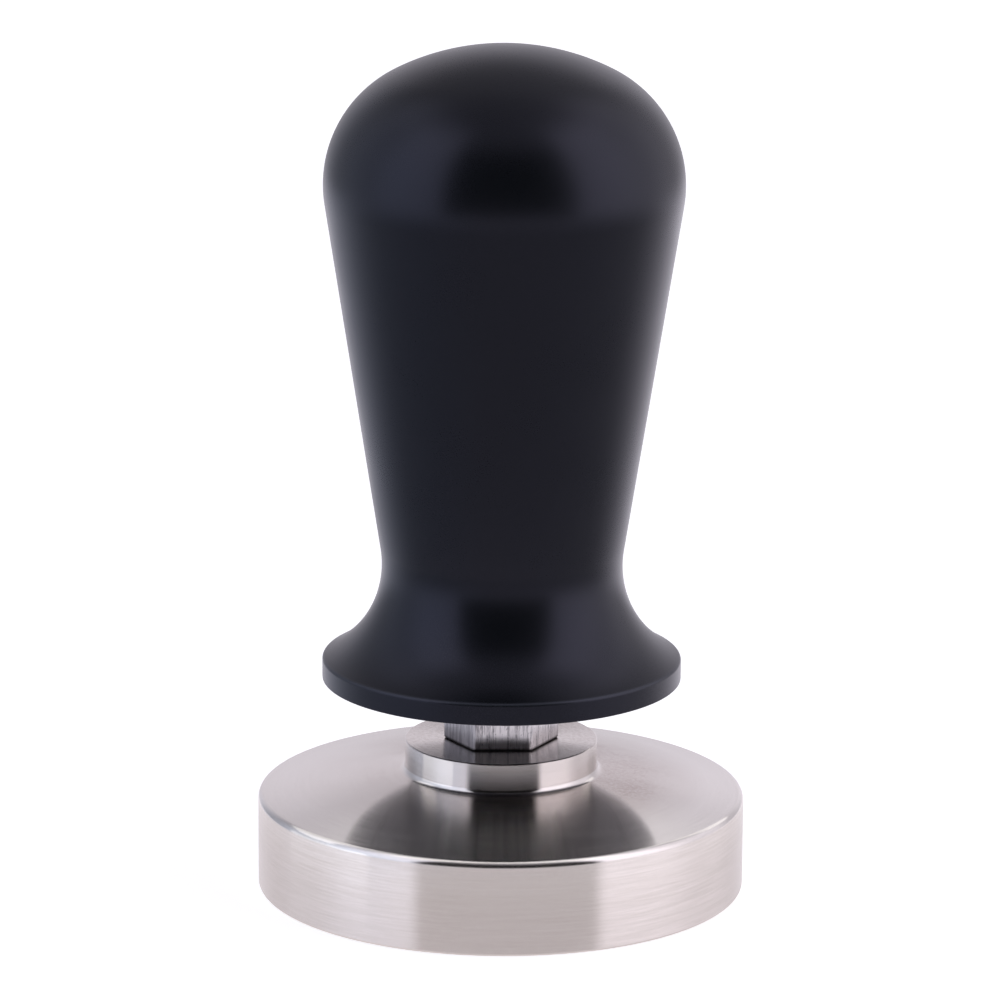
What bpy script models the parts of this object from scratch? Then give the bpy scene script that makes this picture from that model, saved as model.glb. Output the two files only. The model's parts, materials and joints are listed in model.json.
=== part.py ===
"""Espresso tamper with a sprung handle, as an assembly of separate pieces.

The origin is the centre of the flat tamping face and +Z runs up the axis. The handle slides down
over a hexagonal stem, against a compression spring, until its underside meets the base's collar.
Constants are in millimetres and degrees, and the model is built in metres.
"""
import math

import bmesh
import bpy

MM = 0.001
GAP = 0.3  # between pieces that touch, such as a washer and the face it lies on
JOINT_GAP = 0.15  # the visible joint between the stem and the collar

# Base: one turned steel piece, with a shallow cone and a collar round the stem.
BASE_RADIUS = 29.0
RIM_HEIGHT = 11.42  # where the cone meets the rim
RIM_INSET = 0.7  # radius of the rounded rim
FOOT_CHAMFER = 0.35
CONE_TOP_RADIUS = 12.2
CONE_TOP_HEIGHT = 14.15
COLLAR_RADIUS = 11.45
COLLAR_TOP = 17.8
COLLAR_EDGE = 0.2
BASE_HOLE_FLOOR = 6.4
BASE_FILLET = 0.55  # concave, between the cone and the collar
HOLE_CHAMFER = 0.5

# Stem: 12 mm hexagonal bar whose corners are turned down.
STEM_FLATS = 12.0
STEM_CORNER_RADIUS = 6.68
STEM_TOP = 43.5
STEM_TURN = 1.5
STEM_END_RADIUS = 6.3
STUD_RADIUS = 3.7
STUD_BOTTOM = 7.0
STUD_LENGTH = 20.0
STUD_HOLE_TOP = 28.2
STUD_SOCKET_FLATS = 4.0
STUD_SOCKET_DEPTH = 3.0
THREAD_CHAMFER = 0.6
DRILL_POINT = 0.6  # depth of a drill's conical end, as a share of its radius

# Handle: a turned shell with a domed top, a tapering body and a flared skirt.
HANDLE_TOP = 101.13
DOME_RADIUS = 28.63
SHOULDER_RADIUS = 14.75
SHOULDER_OFFSET = 6.405  # from the axis to the centre of the shoulder's arc
TAPER = 9.0
FLARE_RADIUS = 12.565
FLANGE_RADIUS = 21.325
FLANGE_BAND = 2.53
UNDERSIDE = 25.4
FLANGE_EDGE = 0.3
CHAMBER_RADIUS = 10.8
CHAMBER_TOP = 84.0

# Guide plug, bush and cushion that close the chamber round the stem.
PLUG_RADIUS = 17.0
PLUG_FLANGE = 3.0
PLUG_TOP = 40.0
PLUG_HEX_FLATS = 15.4
PLUG_CHAMFER = 0.5
BUSH_HEX_FLATS = 14.8
BUSH_BORE_FLATS = 12.2
BUSH_RIM_RADIUS = 9.8
BUSH_RIM = 0.9
CUSHION_INNER = 7.3
CUSHION_HEIGHT = 2.0
PLUG_SCREWS = 3
PLUG_SCREW_CIRCLE = 14.2
PLUG_SCREW_RADIUS = 1.2
PLUG_SCREW_HEAD_RADIUS = 2.3
PLUG_SCREW_LENGTH = 6.0
PLUG_SCREW_RIM = 0.2  # the straight rim of the countersunk head
PLUG_SOCKET_FLATS = 1.5
PLUG_SOCKET_DEPTH = 1.2

# Stop washer and its screw, which keep the stem in the handle.
STOP_RADIUS = 10.2
STOP_HEIGHT = 3.0
STOP_BOSS_RADIUS = 7.2
STOP_BOSS = 1.2
STOP_CHAMFER = 0.4
LOCK_RADIUS = 5.0
LOCK_HEIGHT = 1.5
LOCK_BORE = 3.4
LOCK_SLIT = 0.7
LOCK_SLIT_LEAN = 35.0
SCREW_RADIUS = 3.0
SCREW_LENGTH = 12.0
SCREW_HEAD_RADIUS = 5.0
SCREW_HEAD = 6.0
SCREW_CHAMFER = 0.5
SCREW_SOCKET_FLATS = 5.0
SCREW_SOCKET_DEPTH = 3.0
SCREW_HOLE_EXTRA = 1.6  # depth of the tapped hole past the screw's tip

# Spring and what it pushes against at the closed end of the chamber.
WIRE_RADIUS = 1.25
COIL_RADIUS = 8.8
COIL_TURNS = 9.5
CLOSED_PITCH = 2.8
SPRING_TOP = 81.1
SEAT_RADIUS = 10.4
SEAT_BORE = 5.0
SEAT_HEIGHT = 1.5
SHIM_HEIGHT = 0.5

FINE_STEPS = 72
MIDDLE_STEPS = 48
SMALL_STEPS = 24
HOLE_STEPS = 16
PAST = 1.0  # how far a cutter reaches past the face it enters


def clear_scene():
    for obj in list(bpy.data.objects):
        bpy.data.objects.remove(obj, do_unlink=True)


def collection(name):
    made = bpy.data.collections.new(name)
    bpy.context.scene.collection.children.link(made)
    return made


def material(name, colour, metallic, roughness):
    made = bpy.data.materials.new(name)
    made.use_nodes = True
    shader = made.node_tree.nodes["Principled BSDF"]
    shader.inputs["Base Color"].default_value = (*colour, 1.0)
    shader.inputs["Metallic"].default_value = metallic
    shader.inputs["Roughness"].default_value = roughness
    return made


def arc(centre, radius, start, end, count):
    """Points (radius, height) along an arc, from one angle in degrees to another."""
    points = []
    for step in range(count + 1):
        angle = math.radians(start + (end - start) * step / count)
        points.append((centre[0] + radius * math.cos(angle), centre[1] + radius * math.sin(angle)))
    return points


def finish(obj, group, finish_material):
    for found in list(obj.users_collection):
        found.objects.unlink(obj)
    group.objects.link(obj)
    if finish_material is not None:
        obj.data.materials.clear()
        obj.data.materials.append(finish_material)
    return obj


def turned(name, outline, steps, group, finish_material=None, closed=False):
    """A turned piece: the outline is drawn at +X, down its outer side, and swept round Z."""
    mesh = bpy.data.meshes.new(name)
    vertices = [(radius * MM, 0.0, height * MM) for radius, height in outline]
    edges = [(index, index + 1) for index in range(len(vertices) - 1)]
    if closed:
        edges.append((len(vertices) - 1, 0))
    mesh.from_pydata(vertices, edges, [])
    obj = bpy.data.objects.new(name, mesh)
    bpy.context.scene.collection.objects.link(obj)
    screw = obj.modifiers.new("Turn", "SCREW")
    screw.steps = steps
    screw.render_steps = steps
    screw.use_merge_vertices = True
    screw.merge_threshold = 0.00001
    screw.use_smooth_shade = True
    return finish(obj, group, finish_material)


def apply_modifiers(obj):
    """Turns the object's evaluated shape into its own mesh."""
    graph = bpy.context.evaluated_depsgraph_get()
    mesh = bpy.data.meshes.new_from_object(obj.evaluated_get(graph))
    obj.modifiers.clear()
    obj.data = mesh
    return obj


def shade(obj, sharp_degrees=35.0):
    obj.data.shade_smooth()
    obj.data.set_sharp_from_angle(angle=math.radians(sharp_degrees))
    return obj


def hexagon(name, flats, bottom, top, group, turn=STEM_TURN):
    """A six-sided prism with its front flat facing -Y, then turned about Z."""
    bpy.ops.mesh.primitive_cylinder_add(
        vertices=6,
        radius=flats / math.sqrt(3.0) * MM,
        depth=(top - bottom) * MM,
        location=(0.0, 0.0, (top + bottom) / 2.0 * MM),
        rotation=(0.0, 0.0, math.radians(30.0 + turn)),
    )
    obj = bpy.context.active_object
    obj.name = name
    return finish(obj, group, None)


def boolean(obj, other, operation="DIFFERENCE"):
    other.hide_render = True
    other.display_type = "WIRE"
    cut = obj.modifiers.new(other.name, "BOOLEAN")
    cut.operation = operation
    cut.object = other
    cut.solver = "EXACT"


def drill(name, radius, bottom, top, group, steps=SMALL_STEPS):
    """A cutter for a drilled hole that enters from above, with a conical end."""
    outline = [(0, top), (radius, top), (radius, bottom), (0, bottom - DRILL_POINT * radius)]
    return turned(name, outline, steps, group)


def cone_line():
    """The straight side of the handle: its upper end, and the unit vector down it."""
    slope = math.radians(TAPER)
    rise = math.sqrt((DOME_RADIUS - SHOULDER_RADIUS) ** 2 - SHOULDER_OFFSET**2)
    shoulder = (SHOULDER_OFFSET, HANDLE_TOP - DOME_RADIUS + rise)
    start = (
        shoulder[0] + SHOULDER_RADIUS * math.cos(slope),
        shoulder[1] - SHOULDER_RADIUS * math.sin(slope),
    )
    return shoulder, start, (-math.sin(slope), -math.cos(slope))


def flare_centre():
    """Centre of the flare's arc: tangent to the taper, and meeting the top of the flange's band."""
    slope = math.radians(TAPER)
    _, start, down = cone_line()
    first = (
        start[0] + FLARE_RADIUS * math.cos(slope) - FLANGE_RADIUS,
        start[1] - FLARE_RADIUS * math.sin(slope) - UNDERSIDE - FLANGE_BAND,
    )
    along = first[0] * down[0] + first[1] * down[1]
    square = first[0] ** 2 + first[1] ** 2 - FLARE_RADIUS**2
    travel = -along - math.sqrt(along**2 - square)
    return (
        first[0] + FLANGE_RADIUS + travel * down[0],
        first[1] + UNDERSIDE + FLANGE_BAND + travel * down[1],
    )


def handle_outside():
    """The handle's outer outline, from the middle of its dome down to its underside."""
    shoulder, _, _ = cone_line()
    dome = (0.0, HANDLE_TOP - DOME_RADIUS)
    meet = math.degrees(math.atan2(shoulder[1] - dome[1], shoulder[0]))
    flare = flare_centre()
    band_top = UNDERSIDE + FLANGE_BAND
    edge = 180.0 + math.degrees(math.atan2(flare[1] - band_top, flare[0] - FLANGE_RADIUS))
    points = arc(dome, DOME_RADIUS, 90.0, meet, 5)
    points += arc(shoulder, SHOULDER_RADIUS, meet, -TAPER, 9)[1:]
    points += arc(flare, FLARE_RADIUS, 180.0 - TAPER, edge - 1.5, 8)
    points += [(FLANGE_RADIUS, band_top - FLANGE_EDGE), (FLANGE_RADIUS, UNDERSIDE + FLANGE_EDGE)]
    points += [(FLANGE_RADIUS - FLANGE_EDGE, UNDERSIDE)]
    return points


def make_handle_shell(parts, cutters, black):
    inside = [
        (PLUG_RADIUS + GAP, UNDERSIDE),
        (PLUG_RADIUS + GAP, UNDERSIDE + PLUG_FLANGE + GAP),
        (CHAMBER_RADIUS, UNDERSIDE + PLUG_FLANGE + GAP),
        (CHAMBER_RADIUS, CHAMBER_TOP),
        (0.0, CHAMBER_TOP),
    ]
    shell = turned("handle_shell", handle_outside() + inside, FINE_STEPS, parts, black)
    shell = apply_modifiers(shell)
    for number, (x, y) in enumerate(screw_places(), 1):
        top = UNDERSIDE + PLUG_SCREW_LENGTH + GAP
        hole = drill(f"shell_hole_{number}", PLUG_SCREW_RADIUS + GAP, -top, -UNDERSIDE, cutters, HOLE_STEPS)
        hole.rotation_euler = (math.pi, 0.0, 0.0)
        hole.location = (x * MM, y * MM, 0.0)
        boolean(shell, hole)
    return shade(shell)


def screw_places():
    places = []
    for number in range(PLUG_SCREWS):
        angle = math.radians(90.0 + 360.0 * number / PLUG_SCREWS)
        places.append((PLUG_SCREW_CIRCLE * math.cos(angle), PLUG_SCREW_CIRCLE * math.sin(angle)))
    return places


def make_guide_plug(parts, cutters, black):
    flange_top = UNDERSIDE + PLUG_FLANGE
    spigot = CHAMBER_RADIUS - GAP
    outline = [
        (0.0, PLUG_TOP),
        (spigot - PLUG_CHAMFER, PLUG_TOP),
        (spigot, PLUG_TOP - PLUG_CHAMFER),
        (spigot, flange_top),
        (PLUG_RADIUS, flange_top),
        (PLUG_RADIUS, UNDERSIDE),
        (0.0, UNDERSIDE),
    ]
    plug = apply_modifiers(turned("guide_plug", outline, FINE_STEPS, parts, black))
    boolean(plug, hexagon("plug_hex", PLUG_HEX_FLATS, UNDERSIDE - PAST, PLUG_TOP + PAST, cutters))
    mouth = PLUG_SCREW_HEAD_RADIUS + PLUG_SCREW_RIM + GAP
    neck = PLUG_SCREW_RADIUS + GAP
    above = PLUG_FLANGE + PAST
    for number, (x, y) in enumerate(screw_places(), 1):
        outline = [(0, above), (neck, above), (neck, mouth - neck), (mouth, 0), (mouth, -PAST), (0, -PAST)]
        sink = turned(f"plug_sink_{number}", outline, SMALL_STEPS, cutters)
        sink.location = (x * MM, y * MM, UNDERSIDE * MM)
        boolean(plug, sink)
    return shade(plug)


def make_plug_screw(number, place, parts, cutters, steel):
    """A countersunk screw that points up, with its origin in the middle of its head."""
    head = PLUG_SCREW_HEAD_RADIUS
    shank = PLUG_SCREW_RADIUS
    tip = PLUG_SCREW_LENGTH - GAP
    outline = [
        (0.0, tip),
        (shank - GAP, tip),
        (shank, tip - GAP),
        (shank, head - shank + PLUG_SCREW_RIM),
        (head, PLUG_SCREW_RIM),
        (head, 0.0),
        (0.0, 0.0),
    ]
    screw = turned(f"plug_screw_{number}", outline, SMALL_STEPS, parts, steel)
    socket = hexagon(f"socket_{number}", PLUG_SOCKET_FLATS, -PAST, PLUG_SOCKET_DEPTH, cutters)
    socket.parent = screw
    boolean(screw, socket)
    screw.location = (place[0] * MM, place[1] * MM, (UNDERSIDE + GAP) * MM)
    return screw


def make_guide_bush(parts, cutters, polymer):
    rim_bottom = PLUG_TOP + GAP
    rim_top = rim_bottom + BUSH_RIM
    bush = hexagon("guide_bush", BUSH_HEX_FLATS, UNDERSIDE + GAP, rim_bottom + BUSH_RIM / 2, parts)
    rim_outline = [
        (0.0, rim_top),
        (BUSH_RIM_RADIUS, rim_top),
        (BUSH_RIM_RADIUS, rim_bottom),
        (0.0, rim_bottom),
    ]
    boolean(bush, turned("bush_rim", rim_outline, MIDDLE_STEPS, cutters), "UNION")
    boolean(bush, hexagon("bush_bore", BUSH_BORE_FLATS, UNDERSIDE - PAST, rim_top + PAST, cutters))
    return finish(bush, parts, polymer)


def ring(name, inner, outer, bottom, height, chamfer, steps, parts, finish_material):
    """A plain ring whose outer edges are chamfered."""
    top = bottom + height
    outline = [
        (inner, top),
        (outer - chamfer, top),
        (outer, top - chamfer),
        (outer, bottom + chamfer),
        (outer - chamfer, bottom),
        (inner, bottom),
    ]
    return turned(name, outline, steps, parts, finish_material, closed=True)


def make_base_plate(parts, steel):
    hole = STUD_RADIUS + GAP
    slope = (CONE_TOP_HEIGHT - RIM_HEIGHT) / (BASE_RADIUS - RIM_INSET - CONE_TOP_RADIUS)
    lean = math.degrees(math.atan(slope))
    rim_centre = (BASE_RADIUS - RIM_INSET, RIM_HEIGHT - RIM_INSET)
    corner = (COLLAR_RADIUS + BASE_FILLET, CONE_TOP_HEIGHT + BASE_FILLET)
    outline = [(0.0, BASE_HOLE_FLOOR - DRILL_POINT * hole), (hole, BASE_HOLE_FLOOR)]
    outline += [(hole, COLLAR_TOP - HOLE_CHAMFER), (hole + HOLE_CHAMFER, COLLAR_TOP)]
    outline += [(COLLAR_RADIUS - COLLAR_EDGE, COLLAR_TOP)]
    outline += [(COLLAR_RADIUS, COLLAR_TOP - COLLAR_EDGE)]
    outline += arc(corner, BASE_FILLET, 180.0, 270.0 - lean, 3)
    outline += arc(rim_centre, RIM_INSET, 90.0 - lean, 0.0, 4)
    outline += [(BASE_RADIUS, FOOT_CHAMFER), (BASE_RADIUS - FOOT_CHAMFER, 0.0), (0.0, 0.0)]
    return turned("base_plate", outline, FINE_STEPS, parts, steel)


def make_base_stud(parts, cutters, steel):
    top = STUD_BOTTOM + STUD_LENGTH
    outline = [
        (0.0, top),
        (STUD_RADIUS - THREAD_CHAMFER, top),
        (STUD_RADIUS, top - THREAD_CHAMFER),
        (STUD_RADIUS, STUD_BOTTOM + THREAD_CHAMFER),
        (STUD_RADIUS - THREAD_CHAMFER, STUD_BOTTOM),
        (0.0, STUD_BOTTOM),
    ]
    stud = turned("base_stud", outline, SMALL_STEPS, parts, steel)
    boolean(stud, hexagon("stud_socket", STUD_SOCKET_FLATS, top - STUD_SOCKET_DEPTH, top + PAST, cutters))
    return stud


def make_hex_stem(parts, cutters, steel):
    bottom = COLLAR_TOP + JOINT_GAP
    stem = hexagon("hex_stem", STEM_FLATS, bottom, STEM_TOP, parts)
    corner_cut = STEM_CORNER_RADIUS - STEM_END_RADIUS
    barrel_outline = [
        (0.0, STEM_TOP),
        (STEM_END_RADIUS, STEM_TOP),
        (STEM_CORNER_RADIUS, STEM_TOP - corner_cut),
        (STEM_CORNER_RADIUS, bottom + corner_cut),
        (STEM_END_RADIUS, bottom),
        (0.0, bottom),
    ]
    boolean(stem, turned("stem_barrel", barrel_outline, FINE_STEPS, cutters), "INTERSECT")
    stud_hole = drill("stem_stud_hole", STUD_RADIUS + GAP, -STUD_HOLE_TOP, PAST - bottom, cutters)
    stud_hole.rotation_euler = (math.pi, 0.0, 0.0)
    boolean(stem, stud_hole)
    floor = screw_seat() - SCREW_LENGTH - SCREW_HOLE_EXTRA
    boolean(stem, drill("stem_screw_hole", SCREW_RADIUS + GAP, floor, STEM_TOP + PAST, cutters))
    return finish(stem, parts, steel)


def stop_bottom():
    return STEM_TOP + GAP


def screw_seat():
    """Height of the underside of the stop screw's head."""
    return stop_bottom() + STOP_HEIGHT + STOP_BOSS + GAP + LOCK_HEIGHT + GAP


def make_stop_washer(parts, steel):
    bottom = stop_bottom()
    top = bottom + STOP_HEIGHT
    bore = SCREW_RADIUS + GAP
    outline = [
        (bore, top + STOP_BOSS),
        (STOP_BOSS_RADIUS - STOP_CHAMFER, top + STOP_BOSS),
        (STOP_BOSS_RADIUS, top + STOP_BOSS - STOP_CHAMFER),
        (STOP_BOSS_RADIUS, top),
        (STOP_RADIUS - STOP_CHAMFER, top),
        (STOP_RADIUS, top - STOP_CHAMFER),
        (STOP_RADIUS, bottom + STOP_CHAMFER),
        (STOP_RADIUS - STOP_CHAMFER, bottom),
        (bore, bottom),
    ]
    return turned("stop_washer", outline, MIDDLE_STEPS, parts, steel, closed=True)


def make_lock_washer(parts, cutters, steel):
    bottom = stop_bottom() + STOP_HEIGHT + STOP_BOSS + GAP
    size = (LOCK_BORE, LOCK_RADIUS, bottom, LOCK_HEIGHT, 0.1)
    washer = ring("lock_washer", *size, SMALL_STEPS, parts, steel)
    bpy.ops.mesh.primitive_cube_add(size=1.0)
    slit = finish(bpy.context.active_object, cutters, None)
    slit.name = "washer_slit"
    slit.scale = (LOCK_RADIUS * MM, LOCK_SLIT * MM, 4.0 * LOCK_HEIGHT * MM)
    slit.location = (LOCK_RADIUS * MM, 0.0, (bottom + LOCK_HEIGHT / 2) * MM)
    slit.rotation_euler = (math.radians(LOCK_SLIT_LEAN), 0.0, 0.0)
    boolean(washer, slit)
    return washer


def make_stop_screw(parts, cutters, steel):
    seat = screw_seat()
    top = seat + SCREW_HEAD
    tip = seat - SCREW_LENGTH
    outline = [
        (0.0, top),
        (SCREW_HEAD_RADIUS - SCREW_CHAMFER, top),
        (SCREW_HEAD_RADIUS, top - SCREW_CHAMFER),
        (SCREW_HEAD_RADIUS, seat),
        (SCREW_RADIUS, seat),
        (SCREW_RADIUS, tip + SCREW_CHAMFER),
        (SCREW_RADIUS - SCREW_CHAMFER, tip),
        (0.0, tip),
    ]
    screw = turned("stop_screw", outline, SMALL_STEPS, parts, steel)
    boolean(screw, hexagon("stop_socket", SCREW_SOCKET_FLATS, top - SCREW_SOCKET_DEPTH, top + PAST, cutters))
    return screw


def coil_height(turn, height):
    """Height of the wire's centre after a number of turns: closed at both ends, open between."""
    open_pitch = (height - 2.0 * CLOSED_PITCH) / (COIL_TURNS - 2.0)
    if turn < 1.0:
        return CLOSED_PITCH * turn
    if turn > COIL_TURNS - 1.0:
        return height - CLOSED_PITCH * (COIL_TURNS - turn)
    return CLOSED_PITCH + open_pitch * (turn - 1.0)


def make_pressure_spring(parts, steel):
    bottom = stop_bottom() + STOP_HEIGHT + GAP + WIRE_RADIUS
    height = SPRING_TOP - WIRE_RADIUS - bottom
    per_turn = 16
    count = int(COIL_TURNS * per_turn)
    data = bpy.data.curves.new("pressure_spring_wire", "CURVE")
    data.dimensions = "3D"
    data.bevel_depth = WIRE_RADIUS * MM
    data.bevel_resolution = 2
    data.use_fill_caps = True
    wire = data.splines.new("POLY")
    wire.points.add(count)
    for index, point in enumerate(wire.points):
        turn = index / per_turn
        angle = 2.0 * math.pi * turn
        x = COIL_RADIUS * math.cos(angle) * MM
        y = COIL_RADIUS * math.sin(angle) * MM
        point.co = (x, y, (bottom + coil_height(turn, height)) * MM, 1.0)
    guide = bpy.data.objects.new("pressure_spring_wire", data)
    bpy.context.scene.collection.objects.link(guide)
    graph = bpy.context.evaluated_depsgraph_get()
    mesh = bpy.data.meshes.new_from_object(guide.evaluated_get(graph))
    weld = bmesh.new()
    weld.from_mesh(mesh)
    bmesh.ops.remove_doubles(weld, verts=weld.verts, dist=0.00001)
    bmesh.ops.recalc_face_normals(weld, faces=weld.faces)
    weld.to_mesh(mesh)
    weld.free()
    bpy.data.objects.remove(guide)
    spring = bpy.data.objects.new("pressure_spring", mesh)
    bpy.context.scene.collection.objects.link(spring)
    return shade(finish(spring, parts, steel), 60.0)


def hang_on_handle(pieces):
    """Parents the pieces that slide to an empty on the axis, at the handle's underside."""
    slide = bpy.data.objects.new("handle_slide", None)
    slide.location = (0.0, 0.0, UNDERSIDE * MM)
    bpy.context.scene.collection.objects.link(slide)
    bpy.context.view_layer.update()
    for piece in pieces:
        piece.parent = slide
        piece.matrix_parent_inverse = slide.matrix_world.inverted()


def main():
    clear_scene()
    parts = collection("espresso_tamper")
    cutters = collection("cutters")
    black = material("black_anodised", (0.012, 0.012, 0.015), 0.6, 0.38)
    bright = material("turned_stainless", (0.72, 0.70, 0.69), 1.0, 0.16)
    drawn = material("drawn_stainless", (0.55, 0.53, 0.53), 1.0, 0.28)
    plated = material("zinc_plated", (0.62, 0.63, 0.66), 1.0, 0.32)
    dark = material("black_oxide", (0.03, 0.03, 0.035), 0.9, 0.42)
    polymer = material("acetal", (0.78, 0.77, 0.73), 0.0, 0.45)
    rubber = material("rubber", (0.02, 0.02, 0.02), 0.0, 0.7)
    make_base_plate(parts, bright)
    make_base_stud(parts, cutters, dark)
    make_hex_stem(parts, cutters, drawn)
    make_stop_washer(parts, plated)
    make_lock_washer(parts, cutters, plated)
    make_stop_screw(parts, cutters, dark)
    make_pressure_spring(parts, plated)
    sliding = [make_handle_shell(parts, cutters, black), make_guide_plug(parts, cutters, black)]
    sliding.append(make_guide_bush(parts, cutters, polymer))
    for number, place in enumerate(screw_places(), 1):
        sliding.append(make_plug_screw(number, place, parts, cutters, dark))
    cushion_bottom = PLUG_TOP + GAP + BUSH_RIM + GAP
    cushion_size = (CUSHION_INNER, STOP_RADIUS, cushion_bottom, CUSHION_HEIGHT, 0.4)
    sliding.append(ring("return_cushion", *cushion_size, MIDDLE_STEPS, parts, rubber))
    seat_bottom = SPRING_TOP + GAP
    shim_bottom = seat_bottom + SEAT_HEIGHT + GAP
    seat_size = (SEAT_BORE, SEAT_RADIUS, seat_bottom, SEAT_HEIGHT, 0.2)
    shim_size = (SEAT_BORE, SEAT_RADIUS, shim_bottom, SHIM_HEIGHT, 0.05)
    sliding.append(ring("spring_seat", *seat_size, MIDDLE_STEPS, parts, plated))
    sliding.append(ring("calibration_shim", *shim_size, MIDDLE_STEPS, parts, bright))
    hang_on_handle(sliding)


main()
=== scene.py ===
"""Looks of the espresso tamper: detailed pieces, finishes, studio and camera round the CAD frame.

Lengths are in millimetres.
"""

import json
import math

import bmesh
import bpy
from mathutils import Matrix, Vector


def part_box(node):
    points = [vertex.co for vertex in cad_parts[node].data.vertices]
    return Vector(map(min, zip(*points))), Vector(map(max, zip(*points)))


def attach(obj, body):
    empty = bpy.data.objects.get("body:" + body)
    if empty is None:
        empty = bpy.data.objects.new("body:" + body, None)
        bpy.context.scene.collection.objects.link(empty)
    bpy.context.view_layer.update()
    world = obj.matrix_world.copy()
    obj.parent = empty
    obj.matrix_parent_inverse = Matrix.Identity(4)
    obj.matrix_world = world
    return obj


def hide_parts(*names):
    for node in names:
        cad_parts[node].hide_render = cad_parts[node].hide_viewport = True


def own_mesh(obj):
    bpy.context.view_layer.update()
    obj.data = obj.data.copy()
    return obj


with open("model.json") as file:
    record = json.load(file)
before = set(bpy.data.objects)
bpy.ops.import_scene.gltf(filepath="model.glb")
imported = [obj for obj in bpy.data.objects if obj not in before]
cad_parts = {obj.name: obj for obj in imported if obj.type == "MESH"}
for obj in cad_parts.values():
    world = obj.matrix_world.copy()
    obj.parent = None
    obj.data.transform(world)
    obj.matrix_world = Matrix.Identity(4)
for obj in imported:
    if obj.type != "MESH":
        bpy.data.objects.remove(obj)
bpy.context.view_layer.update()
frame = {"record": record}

MM = 0.001


def box_mm(node):
    """Radius, lowest and highest height of a CAD node, in millimetres."""
    low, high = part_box(node)
    return high.x / MM, low.z / MM, high.z / MM


BASE_RADIUS, _, COLLAR_TOP = box_mm("base_plate")
FLANGE_RADIUS, UNDERSIDE, HANDLE_TOP = box_mm("handle_shell")
_, _, STEM_TOP = box_mm("hex_stem")
PLUG_RADIUS, _, PLUG_TOP = box_mm("guide_plug")
_, STUD_BOTTOM, STUD_TOP = box_mm("base_stud")
SCREW_HEAD_RADIUS, SCREW_TIP, SCREW_TOP = box_mm("stop_screw")
STOP_RADIUS, STOP_BOTTOM, STOP_TOP = box_mm("stop_washer")
_, SPRING_BOTTOM, SPRING_TOP = box_mm("pressure_spring")
_, BUSH_BOTTOM, BUSH_TOP = box_mm("guide_bush")

WHITE = (1.0, 1.0, 1.0)

# How finely circles and rounded corners are drawn (corners in degrees a step)
RING_STEPS = 160
TURN_STEPS = 192
FINE_STEPS = 256
STEM_STEPS = 720
DISC_STEPS = 96
ROUNDING_STEP = 12

# Room between pieces that touch in the real object
CLEARANCE = 0.3

# Base outline, and the hole for the stud in the base and the stem
RIM_HEIGHT = 11.42
RIM_ROUND = 0.8
FOOT_ROUND = 0.35
CONE_TOP_RADIUS = 12.2
CONE_TOP_HEIGHT = 13.95
COLLAR_RADIUS = 11.45
COLLAR_CHAMFER = 0.12
COLLAR_FILLET = 0.75
EDGE_BREAK = 0.05
STUD_HOLE_RADIUS = 4.0
STUD_HOLE_FLOOR = 6.4
STUD_HOLE_TOP = 28.2
STUD_HOLE_CHAMFER = 0.5
STUD_HOLE_TIP = 2.3
BASE_HOLE_TIP = 2.2

# Stem section, and the hole for the screw; cutters reach past its ends to these heights
STEM_FLATS = 12.0
STEM_CORNER_RADIUS = 6.78
STEM_CHAMFER = 0.15
STEM_RELIEF = 0.2
STEM_FOOT = COLLAR_TOP + 0.03
STEM_TURN = 1.5
SCREW_HOLE_SPARE = 1.6
SCREW_HOLE_TIP = 1.8
UNDER_STEM = 10.0
OVER_STEM = 50.0

# Handle outline
DOME_RADIUS = 28.63
SHOULDER_RADIUS = 14.75
SHOULDER_OFFSET = 6.405
TAPER = 9.0
FLARE_RADIUS = 12.565
FLANGE_BAND = 2.53
FLANGE_ROUND = 0.45
FLANGE_LOWER_ROUND = 0.15
CHAMBER_RADIUS = 10.8
CHAMBER_TOP = 84.0
SHELL_HOLE_DEPTH = 6.3
SHELL_HOLE_TIP = 0.9

# Guide plug and its screws
PLUG_FLANGE = 3.0
PLUG_HEX_FLATS = 15.4
BUSH_HEX_FLATS = 14.8
BUSH_BORE_FLATS = 12.2
BUSH_RIM = 0.9
BUSH_RIM_RADIUS = 9.8
PLUG_SCREW_CIRCLE = 14.2
PLUG_SCREW_HEAD_RADIUS = 2.3
PLUG_SCREW_RADIUS = 1.2
PLUG_SCREW_RIM = 0.2
PLUG_SCREW_PITCH = 0.45
PLUG_SOCKET_FLATS = 1.5
PLUG_SOCKET_DEPTH = 1.2

# Stud, stop screw and the pieces under its head
THREAD_DEPTH = 0.55
STUD_RADIUS = 3.7
STUD_PITCH = 1.25
STUD_SOCKET_FLATS = 4.0
STUD_SOCKET_DEPTH = 3.0
SCREW_RADIUS = 3.0
SCREW_PITCH = 1.0
SCREW_HEAD_HEIGHT = 6.0
CROWN_ROUND = 0.5
KNURLS = 48
KNURL_DEPTH = 0.16
SCREW_SOCKET_FLATS = 5.0
SCREW_SOCKET_DEPTH = 3.0
STOP_BORE = 3.3
STOP_BOSS_RADIUS = 7.2
STOP_BOSS = 1.2
LOCK_BORE = 3.4
LOCK_SLIT = 0.7
LOCK_LEAN = 35.0

# Spring, its seat and the cushion
WIRE_RADIUS = 1.25
COIL_RADIUS = 8.8
COIL_TURNS = 9.5
CLOSED_PITCH = 2.8
GROUND_OFF = 0.3
SEAT_BORE = 5.0
CUSHION_INNER = 7.3

# Camera in metres, millimetres of lens and degrees, fitted to the outline of the real object
CAMERA_AT = (-0.000243, -0.630155, 0.203912)
CAMERA_TARGET = (-0.000243, 0.0, 0.046907)
CAMERA_LENS = 197.75
CAMERA_ROLL = 0.337

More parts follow.
